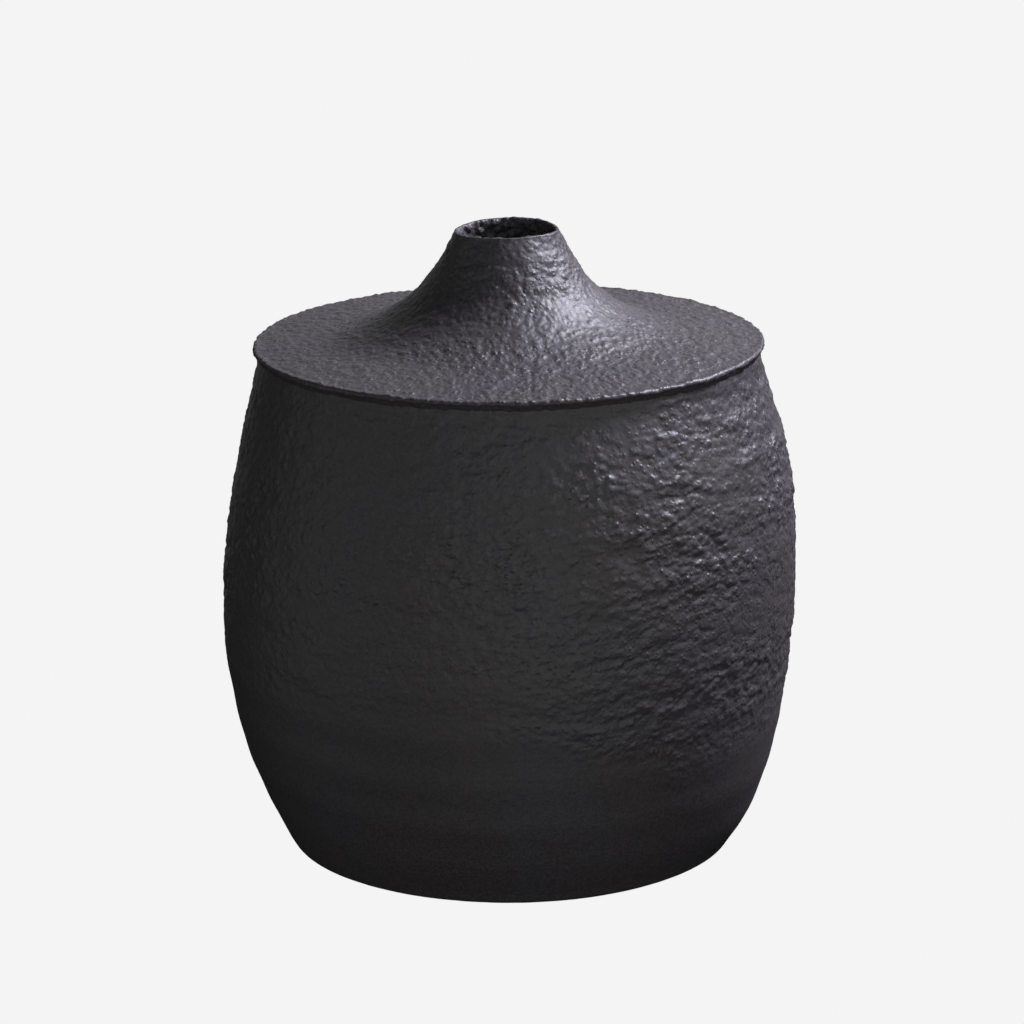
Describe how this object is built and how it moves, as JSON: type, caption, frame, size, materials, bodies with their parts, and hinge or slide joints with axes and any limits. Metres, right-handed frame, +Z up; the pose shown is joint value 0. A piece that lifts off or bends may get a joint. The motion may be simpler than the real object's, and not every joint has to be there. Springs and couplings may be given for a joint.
{
  "type": "narrow-necked clay jar",
  "caption": "Coil-built black clay jar: barrel body with a turned-in foot, flat shoulder with a thin overhanging edge, and a low flared neck with a small mouth.",
  "frame": {"origin": "centre of the foot, on the ground", "axes": "+Z up along the jar's axis; the jar is round, so +X and +Y are free, with -Y taken as the front"},
  "size_m": [0.2398, 0.2398, 0.264],
  "materials": {
    "black_clay": "rough satin, smoke-fired black"
  },
  "bodies": {
    "root": {"floor_slab": "black_clay", "seam_coil": "black_clay", "wall_coil_1": "black_clay", "wall_coil_2": "black_clay", "wall_coil_3": "black_clay", "wall_coil_4": "black_clay", "wall_coil_5": "black_clay", "wall_coil_6": "black_clay", "wall_coil_7": "black_clay", "wall_coil_8": "black_clay", "wall_coil_9": "black_clay", "wall_coil_10": "black_clay", "shoulder_plate": "black_clay", "neck_collar": "black_clay", "neck_coil": "black_clay", "lip_coil": "black_clay"}
  },
  "joints": []
}
